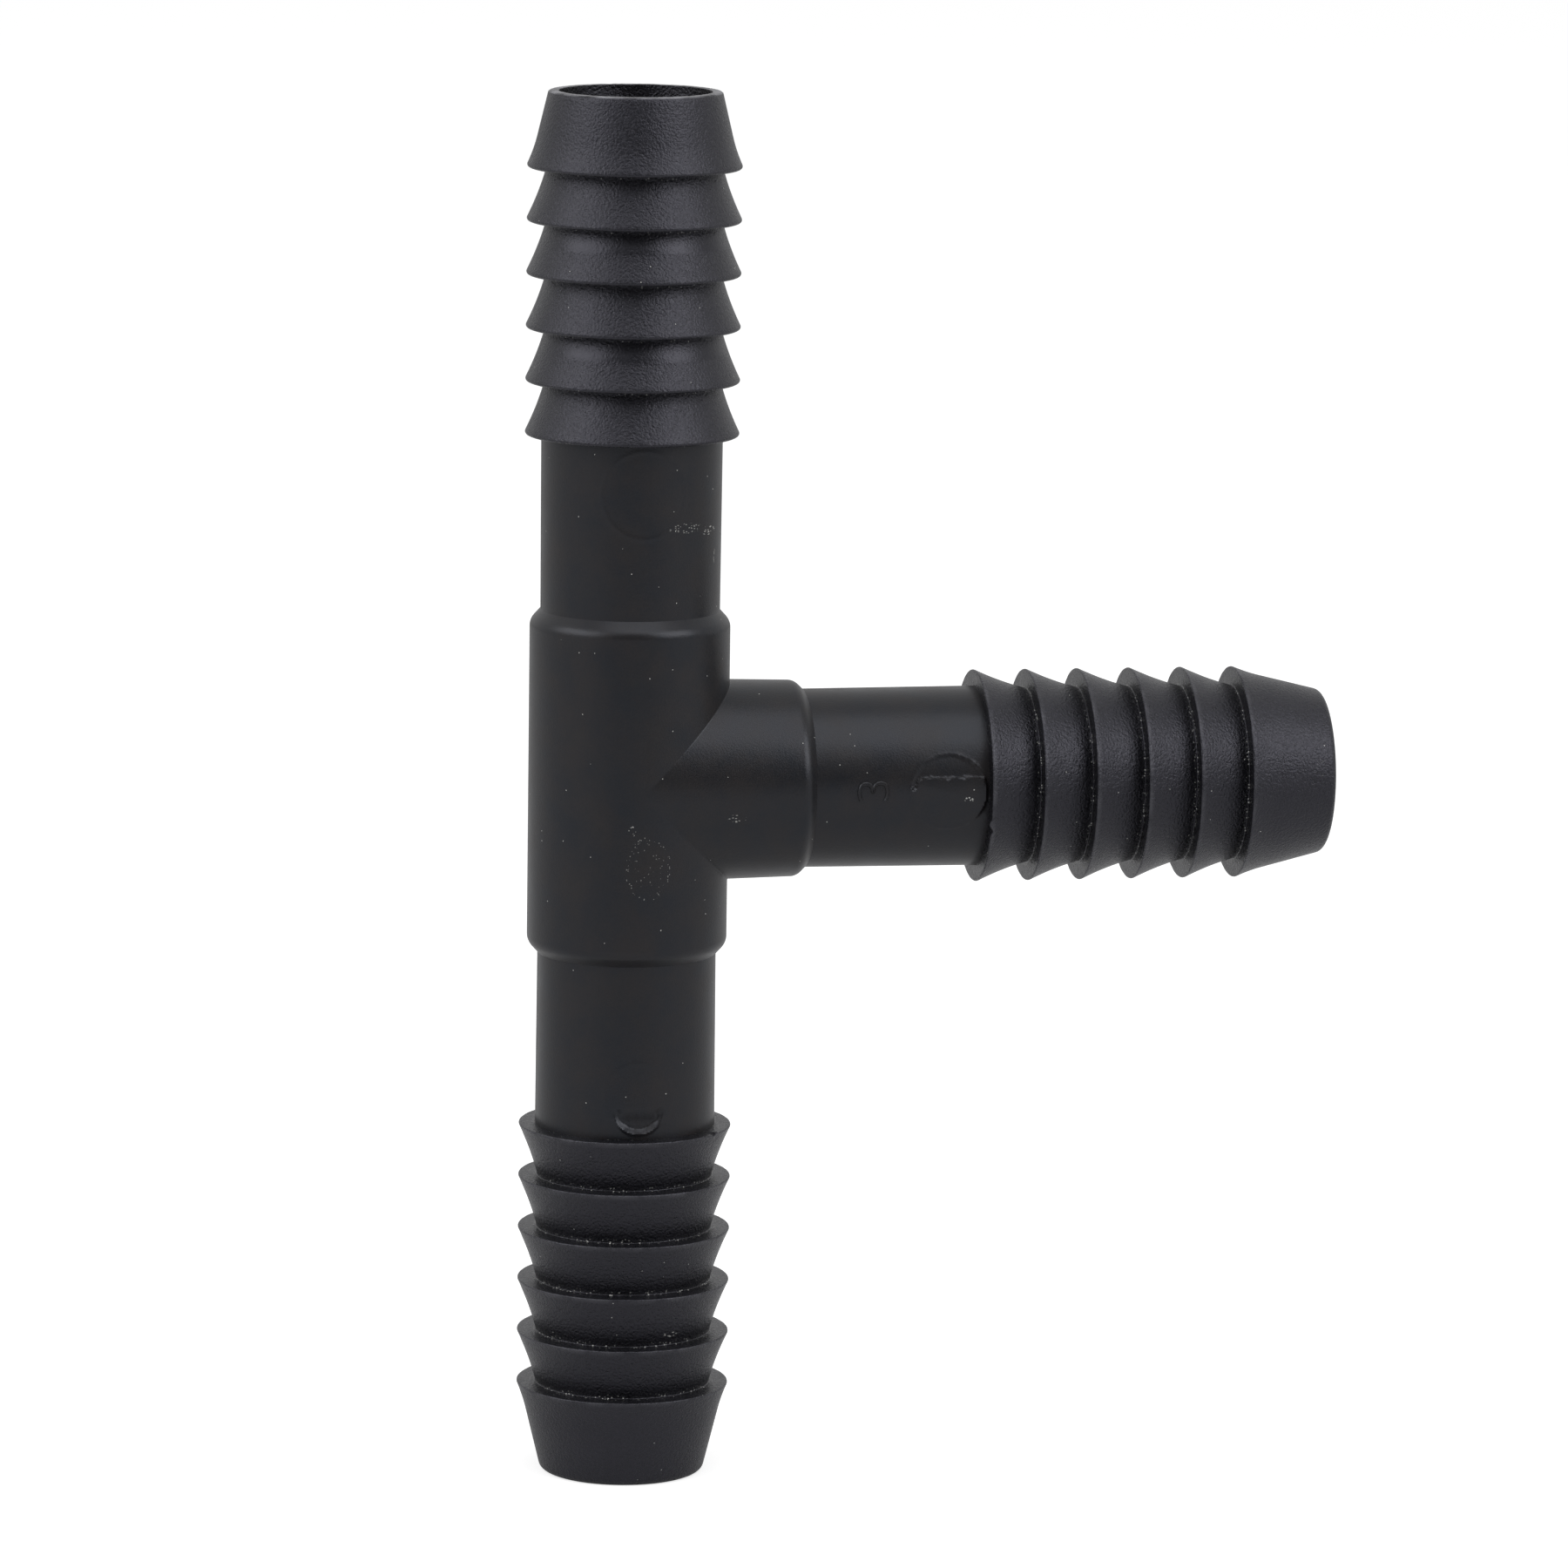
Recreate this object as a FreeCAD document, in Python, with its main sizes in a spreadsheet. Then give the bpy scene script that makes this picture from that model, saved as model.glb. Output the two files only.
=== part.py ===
import FreeCAD, Part
import Sketcher
import os

# Barbed tee connector for 19 mm low-pressure irrigation hose
#
# The real fitting is a single injection moulding. It is divided here into the sections that a
# mould designer names: the hub where the run and the branch cross, and on each of its three ends
# a smooth neck, a stack of short barbs and a longer lead-in nose. The sections meet face to face
# on planes square to their own axis, where the real surface has a step or a crease. The three
# stacks of barbs are alike and make one group of separate solids, and so do the three noses.
#
# Millimetres. The origin is where the axis of the run crosses the axis of the branch. The run
# stands along Z and the branch points along +X. A spigot is drawn with its own Z pointing
# outwards from the origin, so that one set of sections serves all three ends.

# Driving dimensions: name, value, meaning
SIZES = [
    ("bore_diameter", 15.4, "waterway through the run and the branch"),
    ("hub_diameter", 21.1, "thick barrel of the run"),
    ("hub_reach", 18.35, "crossing to the end of the shoulder, along the run"),
    ("collar_diameter", 20.9, "thick barrel of the branch"),
    ("collar_reach", 18.65, "crossing to the end of the shoulder, along the branch"),
    ("shoulder_length", 1.85, "length of the shoulder from a barrel down to its neck"),
    ("shoulder_break", 0.9, "end of the shoulder to where its slope steepens"),
    ("shoulder_break_depth", 0.32, "drop from the barrel to the same place"),
    ("neck_diameter", 19.0, "smooth tube between the hub and the barbs"),
    ("run_barb_start", 36.85, "crossing to the first barb's face, along the run"),
    ("branch_barb_start", 37.1, "crossing to the first barb's face, along the branch"),
    ("barb_pitch", 5.62, "distance from one barb's crest to the next"),
    ("barb_count", 5, "short barbs on each end, without the nose"),
    ("crest_diameter", 22.6, "over the crests of the barbs and the nose"),
    ("trough_diameter", 18.6, "foot of each slope, a little below the neck"),
    ("nose_land", 0.3, "flat on the nose's crest, before its slope starts"),
    ("nose_knee", 3.3, "crest of the nose to where its slope eases"),
    ("nose_knee_diameter", 20.5, "nose where its slope eases"),
    ("nose_length", 9.65, "crest of the nose to its end face"),
    ("nose_end_diameter", 17.2, "full nose at its end face, before its edge is broken"),
    ("nose_end_chamfer", 0.6, "broken edge of a full nose, along and across"),
    ("trimmed_nose_length", 8.1, "crest to end face on the upper nose, which is cut short"),
]

# Each spigot: the size that says where its tube leaves the hub, the size that says where its
# barbs start, whether its nose is cut short, and the way that it points
SPIGOTS = {
    "upper": ("hub_reach", "run_barb_start", True, FreeCAD.Vector(0, 0, 1)),
    "lower": ("hub_reach", "run_barb_start", False, FreeCAD.Vector(0, 0, -1)),
    "branch": ("collar_reach", "branch_barb_start", False, FreeCAD.Vector(1, 0, 0)),
}


def make_sheet(doc):
    """Spreadsheet of the driving dimensions, one row each: name, value, meaning."""
    sheet = doc.addObject("Spreadsheet::Sheet", "sizes")
    for row, (alias, value, meaning) in enumerate(SIZES, start=1):
        sheet.set(f"A{row}", alias)
        sheet.set(f"B{row}", str(value))
        sheet.setAlias(f"B{row}", alias)
        sheet.set(f"C{row}", meaning)
    doc.recompute()
    return sheet


def half(diameter):
    """Expression for the radius that belongs to a diameter in the sheet."""
    return f"sizes.{diameter} / 2"


def new_body(doc, name):
    """Body with its own label."""
    body = doc.addObject("PartDesign::Body", name)
    body.Label = name
    return body


def origin_feature(body, role):
    """Plane or axis of a body's own origin, such as XZ_Plane."""
    for feature in body.Origin.OriginFeatures:
        if feature.Role == role:
            return feature
    raise LookupError(role)


def new_sketch(body, name, plane):
    """Empty sketch on one of the body's own origin planes."""
    sketch = body.newObject("Sketcher::SketchObject", name)
    sketch.AttachmentSupport = [(origin_feature(body, plane), "")]
    sketch.MapMode = "FlatFace"
    return sketch


def pin_coordinate(sketch, kind, line, expression):
    """Ties the start of a line to the sketch's origin, across or up, by an expression."""
    if expression == "0":
        axis = -2 if kind == "DistanceX" else -1
        sketch.addConstraint(Sketcher.Constraint("PointOnObject", line, 1, axis))
        return
    value = float(sketch.evalExpression(expression))
    index = sketch.addConstraint(Sketcher.Constraint(kind, -1, 1, line, 1, value))
    sketch.setExpression(f"Constraints[{index}]", expression)


def draw_outline(sketch, corners):
    """Closed outline of straight lines. Each corner is a pair of expressions, across and up."""
    points = []
    for across, up in corners:
        x = float(sketch.evalExpression(across))
        y = float(sketch.evalExpression(up))
        points.append(FreeCAD.Vector(x, y, 0))
    for start, end in zip(points, points[1:] + points[:1]):
        sketch.addGeometry(Part.LineSegment(start, end), False)
    count = len(points)
    for line in range(count):
        sketch.addConstraint(Sketcher.Constraint("Coincident", line, 2, (line + 1) % count, 1))
    for line, (across, up) in enumerate(corners):
        pin_coordinate(sketch, "DistanceX", line, across)
        pin_coordinate(sketch, "DistanceY", line, up)


def revolve(body, name, corners, axis="V_Axis"):
    """Turned feature: an outline in the XZ plane, swept once round one of its axes."""
    sketch = new_sketch(body, f"{name}_outline", "XZ_Plane")
    draw_outline(sketch, corners)
    feature = body.newObject("PartDesign::Revolution", name)
    feature.Profile = sketch
    feature.ReferenceAxis = (sketch, [axis])
    feature.Angle = 360
    sketch.Visibility = False
    body.Document.recompute()
    return feature


def bore(body, name, plane, reversed_side, both_sides):
    """Round waterway, cut square to an origin plane. Stops the build if it cuts nothing."""
    before = body.Shape.Volume
    sketch = new_sketch(body, f"{name}_outline", plane)
    circle = Part.Circle(FreeCAD.Vector(0, 0, 0), FreeCAD.Vector(0, 0, 1), 1)
    sketch.addGeometry(circle, False)
    sketch.addConstraint(Sketcher.Constraint("Coincident", 0, 3, -1, 1))
    radius = float(sketch.evalExpression(half("bore_diameter")))
    index = sketch.addConstraint(Sketcher.Constraint("Radius", 0, radius))
    sketch.setExpression(f"Constraints[{index}]", half("bore_diameter"))
    pocket = body.newObject("PartDesign::Pocket", name)
    pocket.Profile = sketch
    pocket.Type = "ThroughAll"
    pocket.Midplane = both_sides
    pocket.Reversed = reversed_side
    sketch.Visibility = False
    body.Document.recompute()
    if body.Shape.Volume >= before:
        raise RuntimeError(f"{name} cuts nothing")
    return pocket


def shoulder(reach, diameter, side=""):
    """Two slopes from a barrel down to the neck, then square in to the axis: radii and places.

    The side is a minus sign for the end that points the other way.
    """
    steepens = f"{side}(sizes.{reach} - sizes.shoulder_break)"
    return [
        (half(diameter), f"{side}(sizes.{reach} - sizes.shoulder_length)"),
        (f"{half(diameter)} - sizes.shoulder_break_depth", steepens),
        (half("neck_diameter"), f"{side}sizes.{reach}"),
        ("0", f"{side}sizes.{reach}"),
    ]


def make_hub(doc):
    """Crossing of the run and the branch: two turned barrels with sloped ends, bored through."""
    body = new_body(doc, "tee_hub")
    upper_end = shoulder("hub_reach", "hub_diameter")
    lower_end = shoulder("hub_reach", "hub_diameter", side="-")
    revolve(body, "run_barrel", upper_end + lower_end[::-1])

    collar = [("0", "0"), ("0", half("collar_diameter"))]
    collar += [(along, radius) for radius, along in shoulder("collar_reach", "collar_diameter")]
    revolve(body, "branch_barrel", collar, axis="H_Axis")

    bore(body, "run_bore", "XY_Plane", reversed_side=False, both_sides=True)
    bore(body, "branch_bore", "YZ_Plane", reversed_side=True, both_sides=False)
    return body


def make_neck(doc, spigot):
    """Smooth tube between the hub and the first barb."""
    tube_start, barb_start, _, direction = SPIGOTS[spigot]
    body = new_body(doc, f"{spigot}_neck")
    revolve(body, "tube", [
        (half("bore_diameter"), f"sizes.{tube_start}"),
        (half("neck_diameter"), f"sizes.{tube_start}"),
        (half("neck_diameter"), f"sizes.{barb_start}"),
        (half("bore_diameter"), f"sizes.{barb_start}"),
    ])
    point(body, direction)
    return body


def make_barbs(doc, spigot):
    """Stack of short barbs: one saw tooth turned round the axis, repeated along it."""
    _, barb_start, _, direction = SPIGOTS[spigot]
    body = new_body(doc, f"{spigot}_barbs")
    face = f"sizes.{barb_start}"
    foot = f"{face} + sizes.barb_pitch"
    barb = revolve(body, "barb", [
        (half("bore_diameter"), face),
        (half("crest_diameter"), face),
        (half("trough_diameter"), foot),
        (half("bore_diameter"), foot),
    ])
    stack = body.newObject("PartDesign::LinearPattern", "stack")
    stack.Originals = [barb]
    stack.Direction = (origin_feature(body, "Z_Axis"), [""])
    stack.setExpression("Length", "sizes.barb_pitch * (sizes.barb_count - 1)")
    stack.setExpression("Occurrences", "sizes.barb_count")
    body.Tip = stack
    point(body, direction)
    return body


def make_nose(doc, spigot):
    """Lead-in end: a longer barb in two slopes, with a broken edge or cut short and left sharp."""
    _, barb_start, trimmed, direction = SPIGOTS[spigot]
    body = new_body(doc, f"{spigot}_nose")
    face = f"sizes.{barb_start} + sizes.barb_pitch * sizes.barb_count"
    slope = (
        "(sizes.nose_knee_diameter - sizes.nose_end_diameter) / 2"
        " / (sizes.nose_length - sizes.nose_knee)"
    )
    outline = [
        (half("bore_diameter"), face),
        (half("crest_diameter"), face),
        (half("crest_diameter"), f"{face} + sizes.nose_land"),
        (half("nose_knee_diameter"), f"{face} + sizes.nose_knee"),
    ]
    if trimmed:
        end = f"{face} + sizes.trimmed_nose_length"
        cut = f"{slope} * (sizes.nose_length - sizes.trimmed_nose_length)"
        outline += [(f"{half('nose_end_diameter')} + {cut}", end)]
    else:
        end = f"{face} + sizes.nose_length"
        cut = f"{slope} * sizes.nose_end_chamfer"
        outline += [
            (f"{half('nose_end_diameter')} + {cut}", f"{end} - sizes.nose_end_chamfer"),
            (f"{half('nose_end_diameter')} - sizes.nose_end_chamfer", end),
        ]
    revolve(body, "cone", outline + [(half("bore_diameter"), end)])
    point(body, direction)
    return body


def point(body, direction):
    """Turns a spigot's section from its own Z to the way that the spigot points."""
    turn = FreeCAD.Rotation(FreeCAD.Vector(0, 0, 1), direction)
    body.Placement = FreeCAD.Placement(FreeCAD.Vector(0, 0, 0), turn)


def make_group(doc, name, bodies):
    """Like sections of the three ends as one sub-part of separate solids."""
    group = doc.addObject("Part::Compound", name)
    group.Label = name
    group.Links = bodies
    return group


def check(doc, sections):
    """Stops the build on a failed feature, or on a section that isn't made of valid solids."""
    for item in doc.Objects:
        if "Invalid" in item.State or "Error" in item.State:
            raise RuntimeError(f"{item.Name} is {item.State}")
    for section, solids in sections:
        shape = section.Shape
        if shape.isNull() or not shape.isValid() or len(shape.Solids) != solids:
            raise RuntimeError(f"{section.Label} isn't {solids} valid solids")


def main():
    """Builds the tee and writes each section to its own file."""
    doc = FreeCAD.newDocument("barbed_tee_connector")
    make_sheet(doc)
    barbs = make_group(doc, "barbs", [make_barbs(doc, spigot) for spigot in SPIGOTS])
    noses = make_group(doc, "noses", [make_nose(doc, spigot) for spigot in SPIGOTS])
    sections = [(make_hub(doc), 1)]
    sections += [(make_neck(doc, spigot), 1) for spigot in SPIGOTS]
    sections += [(barbs, len(SPIGOTS)), (noses, len(SPIGOTS))]
    doc.recompute()
    check(doc, sections)
    os.makedirs("parts", exist_ok=True)
    for section, _ in sections:
        shape = section.Shape
        print(f"{section.Label}: {shape.Volume:.0f} mm3")
        shape.exportStep(f"parts/{section.Label}.step")


main()
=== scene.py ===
"""Barbed tee connector for irrigation hose: the dressed model of one black injection moulding.

Sizes in the classes are millimetres, and every mesh is turned to metres when it is finished.
The run stands along z, the branch leaves along +x and the front faces -y.
"""

import logging
import math
from collections.abc import Callable
from dataclasses import dataclass, field
from enum import Enum
from typing import Any

import bmesh
import bpy
from mathutils import Matrix, Vector, noise


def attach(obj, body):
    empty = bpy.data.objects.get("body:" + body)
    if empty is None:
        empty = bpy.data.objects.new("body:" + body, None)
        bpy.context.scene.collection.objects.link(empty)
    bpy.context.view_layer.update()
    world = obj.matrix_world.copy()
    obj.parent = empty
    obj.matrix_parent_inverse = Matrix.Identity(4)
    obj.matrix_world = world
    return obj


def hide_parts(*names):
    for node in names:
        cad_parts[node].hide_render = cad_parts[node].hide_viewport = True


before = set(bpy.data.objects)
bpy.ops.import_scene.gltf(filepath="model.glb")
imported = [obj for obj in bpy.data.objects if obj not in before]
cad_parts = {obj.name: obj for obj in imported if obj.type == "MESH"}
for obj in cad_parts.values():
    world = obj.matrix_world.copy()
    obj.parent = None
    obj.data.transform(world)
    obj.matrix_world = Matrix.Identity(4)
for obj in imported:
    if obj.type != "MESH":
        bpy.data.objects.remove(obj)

LOG = logging.getLogger("barbed_tee")
Outline = list[tuple[float, float]]

MM = 0.001

# Radii that more than one sub-assembly shares
BORE_RADIUS = 7.7
NECK_RADIUS = 9.47

# A full turn is one sector, doubled this many times
DOUBLINGS = 4
SECTORS = 2**DOUBLINGS

# Points closer than MERGED are one, and a point within ON_IT of a plane lies on it
MERGED = 1e-4
ON_IT = 1e-3

# Half the width of the line that the mould's halves leave on the plane y = 0
PARTING = 0.05

# Sockets of the Mix node, which share their names
FACTOR, VALUE_A, VALUE_B, COLOUR_A, COLOUR_B = 0, 2, 3, 6, 7
COLOUR_OUT = 2

# Settings that several nodes share
MULTIPLY = {"operation": "MULTIPLY"}
OF_COLOURS = {"data_type": "RGBA"}


class Way(Enum):
    """The three ways out of the tee, each with its axis and the turn that takes z to it."""

    UPPER = ("upper", (0.0, 0.0, 1.0), Matrix.Identity(4))
    LOWER = ("lower", (0.0, 0.0, -1.0), Matrix.Rotation(math.pi, 4, "X"))
    BRANCH = ("branch", (1.0, 0.0, 0.0), Matrix.Rotation(math.pi / 2, 4, "Y"))

    def __init__(self, word: str, axis: tuple[float, float, float], turn: Matrix) -> None:
        """Keeps the way's word, its axis and its turn."""
        self.word = word
        self.axis = Vector(axis)
        self.turn = turn

    def along(self, point: Vector) -> float:
        """How far out along this way a point is."""
        return point.dot(self.axis)


class MarkKind(Enum):
    """The kinds of small mark that the mould leaves on a neck."""

    STEPPED = "stepped"
    HALF_MOON = "half moon"
    RING = "ring"


class Side(Enum):
    """Names for the two skins, smooth and textured; nothing in the script uses them."""

    SMOOTH = "smooth_plastic"
    TEXTURED = "textured_plastic"


def clamped(share: float) -> float:
    """Keeps a share between 0 and 1."""
    return max(0.0, min(1.0, share))


def bell(offset: float, width: float) -> float:
    """A bump that is 1 where the offset is 0 and fades over the width."""
    return math.exp(-((offset / width) ** 2))


def linear(code: str) -> tuple[float, float, float, float]:
    """Turns an sRGB hex colour into Blender's linear colour.

    Args:
        code: a hash and six hex digits.

    Returns:
        Red, green, blue and a full alpha, linear.
    """
    parts = [int(code[i : i + 2], 16) / 255 for i in (1, 3, 5)]
    red, green, blue = (c / 12.92 if c <= 0.04045 else ((c + 0.055) / 1.055) ** 2.4 for c in parts)
    return (red, green, blue, 1.0)


def add_node(
    tree: bpy.types.NodeTree, kind: str, options: dict[str, Any] | None = None,
    values: dict[str | int, Any] | None = None,
    links: dict[str | int, bpy.types.NodeSocket] | None = None,
) -> bpy.types.Node:
    """Adds one node with its settings and its links.

    Args:
        tree: the node tree that gets the node.
        kind: Blender's name of the node.
        options: properties of the node itself.
        values: input sockets that hold a fixed value.
        links: input sockets that another node's output feeds.

    Returns:
        The new node.
    """
    node = tree.nodes.new(kind)
    for name, value in (options or {}).items():
        setattr(node, name, value)
    for name, value in (values or {}).items():
        node.inputs[name].default_value = value
    for name, source in (links or {}).items():
        tree.links.new(source, node.inputs[name])
    return node


def put_in_scene(name: str, data: bpy.types.ID) -> bpy.types.Object:
    """Makes an object of a mesh, a curve, a lamp or a camera and puts it in the scene.

    Args:
        name: the object's name.
        data: what it shows.

    Returns:
        The object, at the origin.
    """
    thing = bpy.data.objects.new(name, data)
    bpy.context.scene.collection.objects.link(thing)
    return thing


def arc(reach: float, radius: float, size: float, first: float, last: float, steps: int) -> Outline:
    """Draws a rounded corner of an outline.

    Args:
        reach: where the corner's centre is along the axis.
        radius: how far the corner's centre is from the axis.
        size: the corner's own radius.
        first: first angle in degrees, from the axis towards the outside.
        last: last angle in degrees.
        steps: how many straight bits the corner has.

    Returns:
        The points of the corner.
    """
    turns = [math.radians(first + (last - first) * i / steps) for i in range(steps + 1)]
    return [(reach + size * math.cos(t), radius + size * math.sin(t)) for t in turns]


def spread(
    first: tuple[float, float], last: tuple[float, float], steps: int, dish: float = 0.0
) -> Outline:
    """Divides a straight or slightly dished run of an outline.

    Args:
        first: reach and radius of the start, which is left out.
        last: reach and radius of the end, which is kept.
        steps: how many bits the run has.
        dish: how deep its middle is hollowed.

    Returns:
        The points after the start.
    """
    points = []
    for share in (i / steps for i in range(1, steps + 1)):
        reach = first[0] + (last[0] - first[0]) * share
        radius = first[1] + (last[1] - first[1]) * share - dish * 4 * share * (1 - share)
        points.append((reach, radius))
    return points


def turned_shell(outline: Outline, steps: int, closed: bool) -> bmesh.types.BMesh:
    """Turns an outline about the z axis: one sector is spun and then doubled to a full turn.

    Args:
        outline: points as reach along z and radius.
        steps: how many facets go round, a multiple of the number of sectors.
        closed: whether the last point joins the first.

    Returns:
        The shell, with its doubles merged.
    """
    shell = bmesh.new()
    dots = [shell.verts.new((radius, 0.0, reach)) for reach, radius in outline]
    pairs = list(zip(dots, dots[1:]))
    if closed:
        pairs.append((dots[-1], dots[0]))
    lines = [shell.edges.new(pair) for pair in pairs]
    angle = math.tau / SECTORS
    bmesh.ops.spin(
        shell, geom=dots + lines, cent=(0.0, 0.0, 0.0), axis=(0.0, 0.0, 1.0), angle=angle,
        steps=steps // SECTORS,
    )
    for _ in range(DOUBLINGS):
        copied = bmesh.ops.duplicate(shell, geom=shell.verts[:] + shell.edges[:] + shell.faces[:])
        moved = [part for part in copied["geom"] if isinstance(part, bmesh.types.BMVert)]
        bmesh.ops.rotate(shell, matrix=Matrix.Rotation(angle, 3, "Z"), verts=moved)
        angle *= 2
    close_up(shell)
    return shell


def close_up(shell: bmesh.types.BMesh, dist: float = MERGED) -> None:
    """Merges a shell's doubles and turns its faces outwards.

    Args:
        shell: the shell to mend.
        dist: how far apart doubles may be.
    """
    bmesh.ops.remove_doubles(shell, verts=shell.verts, dist=dist)
    bmesh.ops.recalc_face_normals(shell, faces=shell.faces)


def join_into(shell: bmesh.types.BMesh, other: bmesh.types.BMesh) -> None:
    """Adds another shell's faces to a shell.

    Args:
        shell: the shell that grows.
        other: the shell that is used up.
    """
    mesh = bpy.data.meshes.new("joined")
    other.to_mesh(mesh)
    other.free()
    shell.from_mesh(mesh)
    bpy.data.meshes.remove(mesh)


def move_points(shell: bmesh.types.BMesh, shift: Callable[[Vector], Vector]) -> None:
    """Moves every point of a shell by what a rule says for its place.

    Args:
        shell: the shell to shape.
        shift: gives the movement of a point from its place.
    """
    for dot in shell.verts:
        dot.co += shift(dot.co)


def finish_piece(
    shell: bmesh.types.BMesh,
    name: str,
    material: bpy.types.Material,
    stands_for: tuple[str, ...] = (),
    crisp: float = 32.0,
) -> bpy.types.Object:
    """Makes a piece of the tee from a shell in millimetres.

    Args:
        shell: the finished shell, which is used up.
        name: the piece's name.
        material: its finish.
        stands_for: the nodes of the part that it replaces.
        crisp: edges sharper than this many degrees stay sharp in the shading.

    Returns:
        The piece, at the origin and riding on the root.
    """
    bmesh.ops.scale(shell, vec=(MM, MM, MM), verts=shell.verts)
    mesh = bpy.data.meshes.new(name)
    shell.to_mesh(mesh)
    shell.free()
    mesh.shade_smooth()
    mesh.set_sharp_from_angle(angle=math.radians(crisp))
    mesh.materials.append(material)
    piece = put_in_scene(name, mesh)
    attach(piece, "root")
    if stands_for:
        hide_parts(*stands_for)
    LOG.info("%s: %d faces", name, len(mesh.polygons))
    return piece


@dataclass(frozen=True)
class Scuff:
    """A rubbed or dusty place: its centre, its half sizes, its flecks and how many are kept.

    A hollow one shows flecks in a band near its outline only. The band and the flecks' own
    size are shares of the scuff's size and of the flecks' spacing.
    """

    centre: tuple[float, float, float]
    size: tuple[float, float, float]
    fleck: tuple[float, float, float]
    kept: float
    strength: float = 0.6
    hollow: bool = False
    band: float = 0.24
    band_width: float = 0.06
    fleck_share: float = 0.36


@dataclass(frozen=True)
class Dust:
    """Loose specks: the mean distance between them, their size, share kept and shade."""

    spacing: float = 1.4
    size: float = 0.058
    kept: float = 0.55
    shade: str = "#b8b8b4"


@dataclass(frozen=True)
class MouldedPlastic:
    """Black polyamide as it leaves the mould, with the skin that the steel gave it.

    The colour is near black; the steel decides the grain and the gloss. Satin gloss and the
    mean of the grain are for ledges where the steel was dressed.
    """

    name: str
    deep: str
    pale: str
    mottle: float
    gloss_low: float
    gloss_high: float
    grain: float
    grain_depth: float
    grain_tone: float
    ior: float = 1.5
    specular: float = 0.43
    sheen_tint: str = "#ffffff"
    wave: float = 0.0
    wave_depth: float = 0.0
    dust: Dust = field(default_factory=Dust)
    groove_dust: Dust | None = None
    # Colour of the crests' lightening: rubbing, and a painted highlight on the crest edges and the cut
    # rim.
    worn_and_highlight: str = ""
    # Colour of the painted shade in the bore and at the groove roots.
    painted_shade: str = "#060607"
    satin_gloss: float = 0.30
    mean_grain: float = 0.5
    wear_and_highlight_patch: float = 2.0
    scuffs: tuple[Scuff, ...] = ()
    fleck_depth: float = 0.02

    def build(self) -> bpy.types.Material:
        """Builds the material's nodes and returns it."""
        material = bpy.data.materials.new(self.name)
        material.use_nodes = True
        tree = material.node_tree
        tree.nodes.clear()
        place = add_node(tree, "ShaderNodeTexCoord").outputs["Object"]
        grain = add_node(
            tree, "ShaderNodeTexNoise",
            values={"Scale": 1 / (self.grain * MM), "Detail": 2.5, "Roughness": 0.6},
            links={"Vector": place},
        ).outputs[0]
        colour, gloss = self._body(tree, place, grain)
        masks = [self._specks(tree, place, self.dust)]
        if self.groove_dust:
            colour = self._wear_highlight_and_shade(tree, place, colour)
            satin = add_node(tree, "ShaderNodeAttribute", {"attribute_name": "satin"})
            gloss, grain = (
                add_node(
                    tree, "ShaderNodeMix", values={VALUE_B: even},
                    links={FACTOR: satin.outputs["Fac"], VALUE_A: before},
                ).outputs[0]
                for before, even in ((gloss, self.satin_gloss), (grain, self.mean_grain))
            )
            groove = add_node(tree, "ShaderNodeAttribute", {"attribute_name": "groove"})
            inside = add_node(
                tree, "ShaderNodeMath", MULTIPLY,
                links={0: self._specks(tree, place, self.groove_dust), 1: groove.outputs["Fac"]},
            )
            masks.append(inside.outputs[0])
        marks = [self._scuff(tree, place, scuff) for scuff in self.scuffs]
        for mask in [*masks, *marks]:
            mix = add_node(
                tree, "ShaderNodeMix", OF_COLOURS, {COLOUR_B: linear(self.dust.shade)},
                {FACTOR: mask, COLOUR_A: colour},
            )
            colour = mix.outputs[COLOUR_OUT]
        relief = self._relief(tree, place, grain, marks)
        skin = add_node(
            tree, "ShaderNodeBsdfPrincipled",
            values={
                "IOR": self.ior,
                "Specular IOR Level": self.specular,
                "Specular Tint": linear(self.sheen_tint),
            },
            links={"Base Color": colour, "Roughness": gloss, "Normal": relief},
        )
        add_node(tree, "ShaderNodeOutputMaterial", links={"Surface": skin.outputs["BSDF"]})
        return material

    def _body(
        self, tree: bpy.types.NodeTree, place: bpy.types.NodeSocket, grain: bpy.types.NodeSocket
    ) -> tuple[bpy.types.NodeSocket, bpy.types.NodeSocket]:
        """Mottles the colour and the gloss, broadly and by the grain.

        Args:
            tree: the material's node tree.
            place: object coordinates in metres.
            grain: the height of the grain.

        Returns:
            The colour and the roughness.
        """
        cloud = add_node(
            tree, "ShaderNodeTexNoise",
            values={"Scale": 1 / (self.mottle * MM), "Detail": 5.0, "Roughness": 0.6},
            links={"Vector": place},
        )
        both = add_node(
            tree, "ShaderNodeMix", values={FACTOR: self.grain_tone},
            links={VALUE_A: cloud.outputs[0], VALUE_B: grain},
        )
        blend = add_node(
            tree, "ShaderNodeMapRange", values={"From Min": 0.36, "From Max": 0.64},
            links={"Value": both.outputs[0]},
        )
        colour = add_node(
            tree, "ShaderNodeMix", OF_COLOURS,
            {COLOUR_A: linear(self.deep), COLOUR_B: linear(self.pale)}, {FACTOR: blend.outputs[0]},
        )
        gloss = add_node(
            tree, "ShaderNodeMapRange",
            values={"To Min": self.gloss_low, "To Max": self.gloss_high},
            links={"Value": blend.outputs[0]},
        )
        return colour.outputs[COLOUR_OUT], gloss.outputs[0]

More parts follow.
